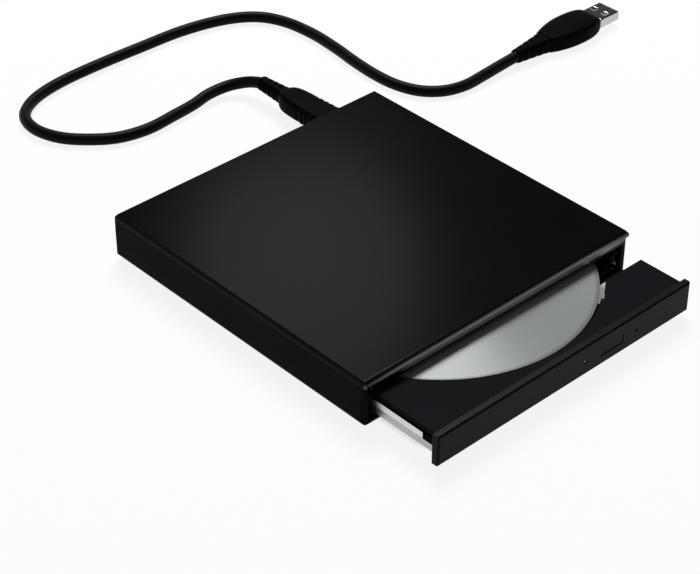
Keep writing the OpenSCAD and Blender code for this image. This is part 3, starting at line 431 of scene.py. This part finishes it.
def cover_paint(name):
    """Black paint, with a brighter nose along the front edge."""
    color, rough, ior = (0.0036, 0.0036, 0.0038), 0.15, 1.8
    flat_specular, nose_specular, nose_rough = 0.022, 1, 0.22
    # The nose ends at these distances behind the front, below the top and from the middle, and is
    # dimmer at its two ends
    behind, beneath, beside, dimmed = (0.6, 1.3), (3.6, 2.6), (48, 64), 0.3
    grain, even, depth = 5000, 0.01, 0.000001
    made = Shader(name, color, rough, specular=flat_specular, ior=ior)
    made.soften(0.0003)
    made.tint(made.mottled(scale=40, amount=0.12))
    ahead = made.spread(made.axis(1), 1, 0, *((CASE_Y + d) * MM for d in behind))
    above = made.spread(made.axis(2), 0, 1, *((COVER_TOP - d) * MM for d in beneath))
    off_middle = made.math("ABSOLUTE", made.axis(0), 0)
    ends = made.spread(off_middle, 1, dimmed, *(d * MM for d in beside))
    nose = made.math("MULTIPLY", made.math("MULTIPLY", ahead, above), ends)
    shine = made.spread(nose, flat_specular, nose_specular, 0, 1)
    made.link(shine, made.bsdf.inputs["Specular IOR Level"])
    fine = made.spread(made.noise(grain), rough - even, rough + even)
    total = made.math("ADD", fine, made.spread(nose, 0, nose_rough, 0, 1))
    made.link(total, made.bsdf.inputs["Roughness"])
    made.bump(made.noise(grain, detail=2), depth)
    return made.mat


def sheet_metal(name, color, rough, along=None, cut=None):
    """Metal with an even grain, or with rolled lines that follow the stretch in along.

    With a colour in cut, the faces that look along Y have that colour, which is painted shade on those
    ends.
    """
    made = Shader(name, color, rough, metal=1.0)
    made.soften(0.0002)
    tone_and_end_shade = made.mottled(scale=30, amount=0.08)
    # Painted shade: the faces that look along Y get the darker cut colour
    if cut:
        facing = made.node("ShaderNodeSeparateXYZ")
        made.link(made.node("ShaderNodeTexCoord").outputs["Normal"], facing.inputs[0])
        along_y = made.math("ABSOLUTE", facing.outputs["Y"], 0)
        tone_and_end_shade = made.blend(made.spread(along_y, 0, 1, start=0.8, end=0.95), tone_and_end_shade, cut)
    made.tint(tone_and_end_shade)
    if along:
        made.gloss(900, rough - 0.06, rough + 0.08, stretch=along)
        made.bump(made.noise(1800, detail=2, stretch=along), depth=0.000004)
    else:
        made.gloss(3000, rough - 0.02, rough + 0.03)
        made.bump(made.noise(4000, detail=2), depth=0.000001)
    return made.mat


def disc_label(name):
    """Silver label side of a disc: clear hub, mirror band, printed field and clear rim."""
    silver, hub, mirror = (0.305, 0.322, 0.33), (0.2, 0.21, 0.21), (0.36, 0.37, 0.38)
    mirror_r, field_r, rim_r, soft = 22.5, 23.5, 58.6, 0.15
    made = Shader(name, silver, 0.4, metal=0.16)
    # Turned grooves spread the light outwards from the hub
    made.bsdf.inputs["Anisotropic"].default_value = 0.95
    made.bsdf.inputs["Anisotropic Rotation"].default_value = 0.25
    around = made.node("ShaderNodeTangent", direction_type="RADIAL", axis="Z")
    made.link(around.outputs[0], made.bsdf.inputs["Tangent"])
    distance = made.radius(0, SPINDLE_Y * MM)

    def beyond(r):
        """Goes from 0 to 1 where the distance from the spindle passes r."""
        return made.spread(distance, 0, 1, (r - soft) * MM, (r + soft) * MM)

    fine = made.spread(made.noise(1400, detail=2), 0, 1)
    field = made.blend(fine, tuple(c * 0.94 for c in silver), silver)
    color = made.blend(beyond(mirror_r), hub, mirror)
    color = made.blend(beyond(field_r), color, field)
    color = made.blend(beyond(rim_r), color, hub)
    made.tint(color)
    made.gloss(2200, 0.37, 0.43)
    return made.mat


def ribbon_film(name):
    """Amber film with the copper lines of a flat cable."""
    film, copper, pitch = (0.42, 0.19, 0.035), (0.5, 0.24, 0.09), 0.0008
    made = Shader(name, film, 0.28)
    wave = made.node("ShaderNodeTexWave", bands_direction="X")
    wave.inputs["Scale"].default_value = WAVE_LENGTH / pitch
    made.link(made.coords, wave.inputs["Vector"])
    line = made.spread(wave.outputs["Fac"], 0, 1, start=0.45, end=0.55)
    made.tint(made.blend(line, made.mottled(scale=60, amount=0.1), copper))
    made.gloss(900, 0.22, 0.34)
    made.bump(line, depth=0.00001)
    return made.mat


def make_materials():
    """One material for each slot of the record."""
    mats = {name: moulded(name, **look) for name, look in PLASTICS.items()}
    mats |= {name: sheet_metal(name, **look) for name, look in METALS.items()}
    mats["cover_black"] = cover_paint("cover_black")
    mats["flex_amber"] = ribbon_film("flex_amber")
    mats["disc_silver"] = disc_label("disc_silver")
    return mats


def dress_nodes(mats):
    """Gives every CAD node the material of its slot."""
    slots = {sub["node"]: sub["material_slot"] for sub in frame["record"]["subparts"]}
    for name, obj in nodes.items():
        obj.data.materials.clear()
        obj.data.materials.append(mats[slots[name]])


# Shapes


def add_piece(name, shape, mats, slot, body, stands_for=(), sharp=40):
    """A mesh piece in millimetres that rides on a body and may stand for CAD nodes."""
    verts, faces = shape
    mesh = bpy.data.meshes.new(name)
    mesh.from_pydata([Vector(v) * MM for v in verts], [], faces)
    work = bmesh.new()
    work.from_mesh(mesh)
    bmesh.ops.remove_doubles(work, verts=work.verts, dist=MERGE_DISTANCE)
    bmesh.ops.recalc_face_normals(work, faces=work.faces)
    work.to_mesh(mesh)
    work.free()
    mesh.polygons.foreach_set("use_smooth", [True] * len(mesh.polygons))
    mesh.set_sharp_from_angle(angle=math.radians(sharp))
    mesh.materials.append(mats[slot])
    obj = bpy.data.objects.new(name, mesh)
    scene.collection.objects.link(obj)
    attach(obj, body)
    if stands_for:
        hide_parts(*stands_for)
    return obj


def joined(parts):
    """Several (verts, faces) shapes as one."""
    verts, faces = [], []
    for some_verts, some_faces in parts:
        faces += [[i + len(verts) for i in face] for face in some_faces]
        verts += some_verts
    return verts, faces


def moved(shape, matrix):
    """A shape after a turn or a shift."""
    verts, faces = shape
    return [matrix @ Vector(v) for v in verts], faces


def bend(start, corner, end, steps):
    """Points of a curve that goes from start to end and looks towards the corner."""
    shares = [k / steps for k in range(steps + 1)]
    return [start * (1 - t) ** 2 + corner * 2 * t * (1 - t) + end * t**2 for t in shares]


def rounded(points, radius, steps=4):
    """A closed outline with its corners rounded."""
    path = []
    for i, corner in enumerate(points):
        here = Vector(corner)
        before = Vector(points[i - 1]) - here
        after = Vector(points[(i + 1) % len(points)]) - here
        start = here + before.normalized() * min(radius, before.length / 2)
        end = here + after.normalized() * min(radius, after.length / 2)
        path += bend(start, here, end, steps)
    return path


def eased(points, radius, steps=6):
    """An open line with its corners rounded."""
    path = [Vector(points[0])]
    for before, corner, after in zip(points, points[1:], points[2:]):
        here = Vector(corner)
        start = here + (Vector(before) - here).normalized() * radius
        end = here + (Vector(after) - here).normalized() * radius
        path += bend(start, here, end, steps)
    return path + [Vector(points[-1])]


def lathe(outline, sides):
    """Turns a closed outline of (radius, height) points about +Z."""
    count = len(outline)
    verts, faces = [], []
    for i in range(sides):
        a = 2 * math.pi * i / sides
        verts += [(r * math.cos(a), r * math.sin(a), z) for r, z in outline]
        for j in range(count):
            k = (j + 1) % count
            n = (i + 1) % sides
            faces.append((i * count + j, i * count + k, n * count + k, n * count + j))
    return verts, faces


def loft(rings, caps=True):
    """Skin over a row of rings of points."""
    sides = len(rings[0])
    verts = [p for ring in rings for p in ring]
    faces = []
    for i in range(len(rings) - 1):
        for k in range(sides):
            a, b = i * sides + k, i * sides + (k + 1) % sides
            faces.append((a, b, b + sides, a + sides))
    if caps:
        end = (len(rings) - 1) * sides
        faces += [tuple(range(sides)), tuple(range(end, end + sides))]
    return verts, faces


def section_ring(place, half_w, half_h, square):
    """A ring of a flat round section at a place along +Z, as in the CAD source."""
    ring = []
    for k in range(SECTION_SIDES):
        a = 2 * math.pi * k / SECTION_SIDES
        c, s = math.cos(a), math.sin(a)
        x = math.copysign(half_w * abs(c) ** square, c)
        y = math.copysign(half_h * abs(s) ** square, s)
        ring.append((x, y, place))
    return ring


def section_rings(half_w, half_h, rows):
    """Rings from rows of a place, how much narrower and flatter it is there, and squareness."""
    return [
        section_ring(place, half_w - narrow, half_h - flat, square)
        for place, narrow, flat, square in rows
    ]


# Disc drive


def make_disc(mats):
    """Disc with a soft edge, a groove in the top and a stacking ridge below."""
    soft, sides = 0.2, 180
    ridge, ridge_depth = (16.8, 17, 17.8, 18), 0.2
    groove, groove_depth = (17.7, 17.5, 16.9, 16.7), 0.15
    within = (0, 1, 1, 0)
    top = DISC_Z + DISC_T
    outline = [
        (HOLE_R, DISC_Z),
        *((r, DISC_Z - ridge_depth * k) for r, k in zip(ridge, within)),
        (DISC_R, DISC_Z),
        (DISC_R, top),
        *((r, top - groove_depth * k) for r, k in zip(groove, within)),
        (HOLE_R, top),
    ]
    shape = moved(lathe(rounded(outline, soft), sides), Matrix.Translation((0, SPINDLE_Y, 0)))
    add_piece("disc_silver", shape, mats, "disc_silver", "rotor", ["disc"])


def make_feet(mats):
    """Four pads with a round rim and a shallow dish."""
    soft, sides = 0.25, 48
    dish, rim, depth = 2.9, 3.1, 0.12
    outline = [(0, depth), (dish, depth), (rim, 0), (FOOT_R, 0), (FOOT_R, FOOT_H), (0, FOOT_H)]
    pad = lathe(rounded(outline, soft), sides)
    shape = joined([moved(pad, Matrix.Translation((x, y, 0))) for x, y in FEET])
    add_piece("foot_pads", shape, mats, "foot_rubber", "case", ["rubber_feet"])


def make_lamp(mats):
    """Light guide with a domed front."""
    front, back = LAMP_Y
    sides = 32
    # Radius, and depth behind the front
    dome = ((LAMP_R, 0.5), (0.92, 0.28), (0.7, 0.1), (0.4, 0.02), (0, 0))
    outline = [(0, back), (LAMP_R, back), *((r, front + depth) for r, depth in dome)]
    turn = Matrix.Translation((LAMP_X, 0, LAMP_Z)) @ Matrix.Rotation(-QUARTER_TURN, 4, "X")
    shape = moved(lathe(outline, sides), turn)
    add_piece("lamp_guide", shape, mats, "lamp_clear", "tray", ["led_lens"])


def reader_frame():
    """From the reader's own axes to the part's."""
    return Matrix.Translation((0, SPINDLE_Y, 0)) @ Matrix.Rotation(FEED_ANGLE, 4, "Z")


def make_lead_screw(mats):
    """Screw with a real thread between plain ends."""
    start, end = SCREW_U
    first, last = start + 2.2, end - 3
    depth, step, sides = 0.28, 0.15, 20
    groove_width, flank = 2.2, 8
    count = round((end - start) / step)
    rings = []
    for i in range(count + 1):
        u = start + (end - start) * i / count
        fade = min(1, max(0, min(u - first, last - u)))
        ring = []
        for k in range(sides):
            turn = k / sides
            phase = (u / SCREW_LEAD - turn) % 1
            cut = min(1, max(0, groove_width - abs(phase - 0.5) * flank)) * depth
            r = SCREW_R - cut * fade
            angle = turn * 2 * math.pi
            ring.append((u, SCREW_V + r * math.cos(angle), SCREW_Z + r * math.sin(angle)))
        rings.append(ring)
    shape = moved(loft(rings), reader_frame())
    add_piece("feed_thread", shape, mats, "bright_steel", "screw", ["lead_screw"])


def make_lens(mats):
    """Domed objective lens with a flat rim."""
    sides, steps = 40, 6
    rim, rim_low, rim_high = 1.7, 0.25, 0.3
    dome, dome_height = 1.6, 0.7
    outline = [(0, LENS_Z), (LENS_R, LENS_Z), (LENS_R, LENS_Z + rim_low), (rim, LENS_Z + rim_high)]
    for k in range(steps + 1):
        a = k * math.pi / (2 * steps)
        outline.append((dome * math.cos(a), LENS_Z + rim_high + dome_height * math.sin(a)))
    place = reader_frame() @ Matrix.Translation((LENS_HOME, 0, 0))
    shape = moved(lathe(outline, sides), place)
    add_piece("lens_dome", shape, mats, "lens_clear", "lens", ["objective_lens"])


def make_ribbon(mats):
    """Flat cable in two layers.

    One lies on the pan and rises at the rear. The other goes with the tray.
    """
    low, high = PAN_Z + RIBBON_T * 0.5, PAN_Z + RIBBON_T * 1.7
    rear, end = RIBBON_REAR + RIBBON_T / 2, RIBBON_TRAY - RIBBON_T / 2
    fold = RIBBON_FOLD + RIBBON_T / 2
    left, right = RIBBON_X
    corners = ((left, 1), (right, 1), (right, -1), (left, -1))
    fixed = [(rear, RIBBON_RISE), (rear, low), (fold, low)]
    moving = [(fold + 0.2, high), (end, high), (end, TRAY_Z + 0.6)]
    rows = [
        ("flat_cable", "case", ["flex_ribbon"], eased(fixed, 0.1)),
        ("flat_cable_end", "tray", [], eased(moving, 0.07)),
    ]
    for name, body, stands_for, path in rows:
        rings = []
        for i, here in enumerate(path):
            along = (path[min(i + 1, len(path) - 1)] - path[max(i - 1, 0)]).normalized()
            side = Vector((-along.y, along.x)) * RIBBON_T / 2
            rings.append([(x, *(here + side * sign)) for x, sign in corners])
        add_piece(name, loft(rings), mats, "flex_amber", body, stands_for)


# Plugs and cable


def relief_rings(length, half_w, half_h):
    """Rings of a flexible sleeve with grooves, from the plug to the cable."""
    grooves, deep, end, end_cut = 4, 0.45, 0.2, 0.1
    tip = CORD_D / 2 + 0.7
    pitch = length / (grooves + 0.5)
    # Place in a groove, as a share of the pitch, and depth
    groove = ((-0.36, 0), (-0.3, 0.02), (-0.25, deep), (0, deep), (0.05, 0.02), (0.11, 0))

    def at(place, cut):
        """The sleeve's ring at a place, smaller by a cut."""
        k = place / length
        w = half_w + (tip - half_w) * k - cut
        h = half_h + (tip - half_h) * k - cut
        return section_ring(place, w, h, 0.5 + 0.5 * k)

    rings = [at(0, 0), at(end, 0)]
    for i in range(1, grooves + 1):
        rings += [at((i + share) * pitch, cut) for share, cut in groove]
    return rings + [at(length - end, 0), at(length, end_cut)]


def drive_plug_rings():
    """Rings of the plug at the drive: a flared end, four grooves in the sides and a round tail."""
    w, h, flare = PLUG_W / 2, PLUG_H / 2, PLUG_FLARE / 2
    square, taper = 0.4, PLUG_LEN - 6
    front = ((0, 0.5, 0.4, square), (0.1, 0.3, 0.2, square), (0.8, 0, 0, square))
    # Place in a groove, and depth
    groove = ((0, 0), (0.4, 0.5), (1.2, 0.5), (1.6, 0))
    tail = (
        (taper, 0, 0, square),
        (PLUG_LEN - 3, 0.7, 0.1, square),
        (PLUG_LEN - 1, 1.6, 0.4, 0.45),
        (PLUG_LEN - 0.1, 2.3, 0.8, 0.5),
        (PLUG_LEN, 2.4, 0.9, 0.5),
    )
    rings = section_rings(w + flare, h, front)
    for start in (10, 13, 16, 19):
        for along, cut in groove:
            place = start + along
            rings.append(section_ring(place, w + flare * (1 - place / taper) - cut, h, square))
    return rings + section_rings(w, h, tail)


def host_plug_rings():
    """Rings of the moulded grip at the far end."""
    rows = (
        (0, 3.6, 0.3, 0.5),
        (0.2, 3.5, 0.3, 0.5),
        (3, 2.5, 0.1, 0.45),
        (7, 1.3, 0, 0.42),
        (12, 0.3, 0, 0.4),
        (16, 0, 0, 0.4),
        (20, 0, 0, 0.4),
        (24, 0.4, 0, 0.4),
        (HOST_LEN - 3.6, 1.1, 0.1, 0.4),
        (HOST_LEN - 1.4, 1.9, 0.4, 0.42),
        (HOST_LEN - 0.4, 2.5, 0.8, 0.45),
        (HOST_LEN, 2.7, 1.3, 0.45),
    )
    return section_rings(HOST_W / 2, HOST_H / 2, rows)


def make_plugs(mats):
    """Moulded bodies and sleeves of both plugs. Returns the pieces."""
    upright = Matrix.Rotation(QUARTER_TURN, 4, "Z")
    to_y = Matrix.Rotation(-QUARTER_TURN, 4, "X")
    to_x = Matrix.Rotation(QUARTER_TURN, 4, "Y") @ upright
    back_x = Matrix.Rotation(-QUARTER_TURN, 4, "Y") @ upright
    drive_face = (SOCKET_X, PLUG_Y, SOCKET_Z)
    drive_tail = (SOCKET_X, PLUG_Y + PLUG_LEN, SOCKET_Z)
    host_face = Vector(HOST) + Vector((HOST_RELIEF, 0, 0))
    drive_sleeve = relief_rings(RELIEF_LEN, PLUG_W / 2 - 2.6, PLUG_H / 2 - 1)
    host_sleeve = relief_rings(HOST_RELIEF, HOST_W / 2 - 4, HOST_H / 2 - 0.4)
    rows = [
        ("drive_plug", "socket_plug_body", drive_plug_rings(), drive_face, to_y),
        ("drive_plug_sleeve", "socket_plug_relief", drive_sleeve, drive_tail, to_y),
        ("host_plug", "host_plug_body", host_plug_rings(), host_face, to_x),
        ("host_plug_sleeve", "host_plug_relief", host_sleeve, host_face, back_x),
    ]
    pieces = []
    for name, node, rings, place, turn in rows:
        shape = moved(loft(rings), Matrix.Translation(place) @ turn)
        piece = add_piece(name, shape, mats, "plug_black", "case", [node], sharp=80)
        smooth = piece.modifiers.new("smooth", "SUBSURF")
        smooth.levels = smooth.render_levels = 2
        pieces.append(piece)
    return pieces


def make_shell(mats):
    """Folded metal shell of the host plug, with its latch windows, and the contacts inside."""
    start = HOST[0] + HOST_RELIEF + HOST_LEN
    half_w, half_h = SHELL_W / 2, SHELL_H / 2
    radius, cell, cells = 0.9, 0.5, 24
    window_x, window_y, edge = (4.6, 7), (1.9, 4.1), 0.05

    def along_plug(outline, places):
        """Rings of an outline at places along the shell."""
        return [[(start + s, HOST[1] + p.x, HOST[2] + p.y) for p in outline] for s in places]

    corners = [(-half_w, -half_h), (half_w, -half_h), (half_w, half_h), (-half_w, half_h)]
    outline = rounded(corners, radius)
    columns = []
    for i, here in enumerate(outline):
        after = outline[(i + 1) % len(outline)]
        count = max(1, round((after - here).length / cell))
        columns += [here.lerp(after, k / count) for k in range(count)]
    stations = [SHELL_LEN * k / cells for k in range(cells + 1)]
    verts, faces = loft(along_plug(columns, stations), caps=False)

    def open_cell(face):
        """True where a latch window leaves the metal open."""
        middle = sum((Vector(verts[i]) for i in face), Vector()) / len(face)
        x, y, z = middle.x - start, middle.y - HOST[1], middle.z - HOST[2]
        flat = abs(z) > half_h - edge
        return flat and window_x[0] < x < window_x[1] and window_y[0] < abs(y) < window_y[1]

    shape = verts, [face for face in faces if not open_cell(face)]
    shell = add_piece("host_shell", shape, mats, "plug_metal", "case", ["host_plug_shell"], sharp=50)
    wall = shell.modifiers.new("wall", "SOLIDIFY")
    wall.thickness = SHELL_T * MM
    wall.offset = -1

    half, low, high, soft = 0.5, -0.02, 0.16, 0.1
    inner_end, mouth = 1.2, SHELL_LEN - 1
    contacts = []
    for y, short in ((-3.5, 1.2), (-1, 2.2), (1, 2.2), (3.5, 1.2)):
        corners = [(y - half, low), (y + half, low), (y + half, high), (y - half, high)]
        strip = rounded(corners, soft, steps=2)
        contacts.append(loft(along_plug(strip, (inner_end, mouth - short))))
    strips = add_piece("plug_contacts", joined(contacts), mats, "copper_winding", "case")
    return [shell, strips]


def smooth_route(points, steps):
    """Points of a smooth curve through the route, as in the CAD source."""

    def at(i):
        """A point of the route, or its nearest end."""
        return Vector(points[max(0, min(len(points) - 1, i))])

    path = []
    for i in range(len(points) - 1):
        a, b, c, d = (at(i + k) for k in (-1, 0, 1, 2))
        for k in range(steps):
            t = k / steps
            curve = (2 * a - 5 * b + 4 * c - d) * t**2 + (3 * b - a - 3 * c + d) * t**3
            path.append(0.5 * (2 * b + (c - a) * t + curve))
    path.append(at(len(points) - 1))
    return path


def make_cable(mats):
    """The cable between its two plugs, as a free cord."""
    path = [p * MM for p in smooth_route(ROUTE, steps=6)]
    data = bpy.data.curves.new("cable", "CURVE")
    data.dimensions = "3D"
    data.bevel_depth = CORD_D / 2 * MM
    data.bevel_resolution = 5
    data.use_fill_caps = True
    spline = data.splines.new("POLY")
    spline.points.add(len(path) - 1)
    for point, place in zip(spline.points, path):
        point.co = (*place, 1)
    spline.use_smooth = True
    cable = bpy.data.objects.new("cable", data)
    scene.collection.objects.link(cable)
    cable.data.materials.append(mats["cable_black"])
    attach(cable, "case")
    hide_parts("usb_cable")


make_stage()
materials = make_materials()
dress_nodes(materials)
plug_pieces = make_plugs(materials) + make_shell(materials)
make_cable(materials)
make_disc(materials)
make_feet(materials)
make_lamp(materials)
make_lead_screw(materials)
make_lens(materials)
make_ribbon(materials)
